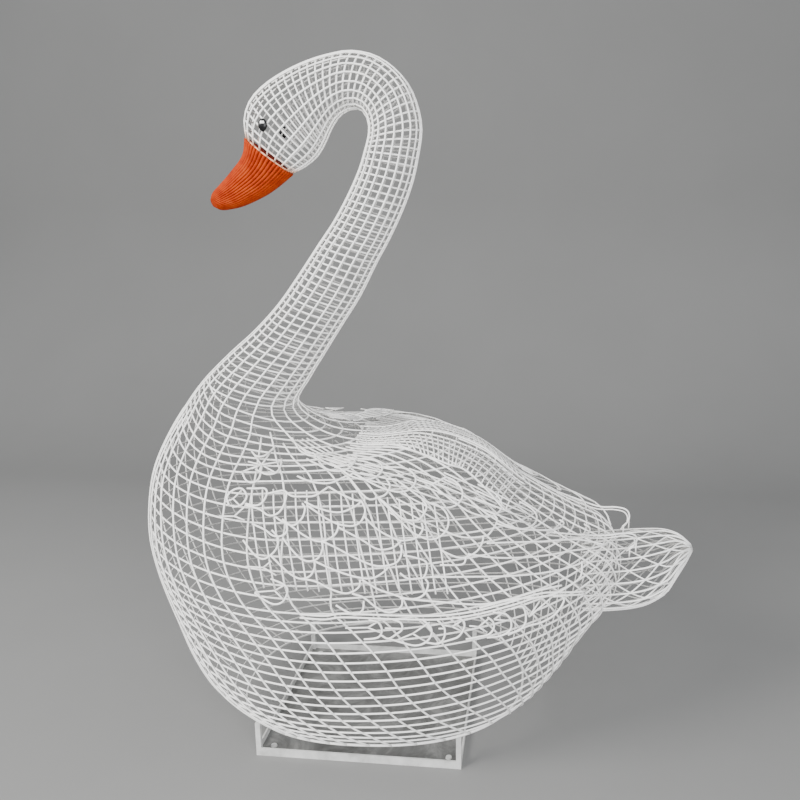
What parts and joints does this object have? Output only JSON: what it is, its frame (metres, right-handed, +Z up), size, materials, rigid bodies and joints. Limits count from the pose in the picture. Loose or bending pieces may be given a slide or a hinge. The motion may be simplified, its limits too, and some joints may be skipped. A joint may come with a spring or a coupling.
{
  "type": "wire mesh swan sculpture",
  "caption": "Standing swan of welded white-painted steel mesh with layered feather wings, an orange beak and a square steel tray base.",
  "frame": {"origin": "centre of the tray's underside, on the floor", "axes": "+Z up, the swan faces -X, its left side is towards -Y"},
  "size_m": [1.3588, 0.852, 1.6476],
  "materials": {
    "white_paint": "warm white paint, satin, brushed on over the welds",
    "orange_paint": "satin orange paint, darker in the grooves",
    "black_gloss": "glossy black paint",
    "tray_steel": "galvanised steel sheet, scuffed and scratched"
  },
  "bodies": {
    "root": {"base_tray": "tray_steel", "body_cage": "white_paint", "neck_cage": "white_paint", "tail_cage": "white_paint", "left_wing": "white_paint", "right_wing": "white_paint", "beak": "orange_paint", "left_eye": "black_gloss", "right_eye": "black_gloss"}
  },
  "joints": []
}
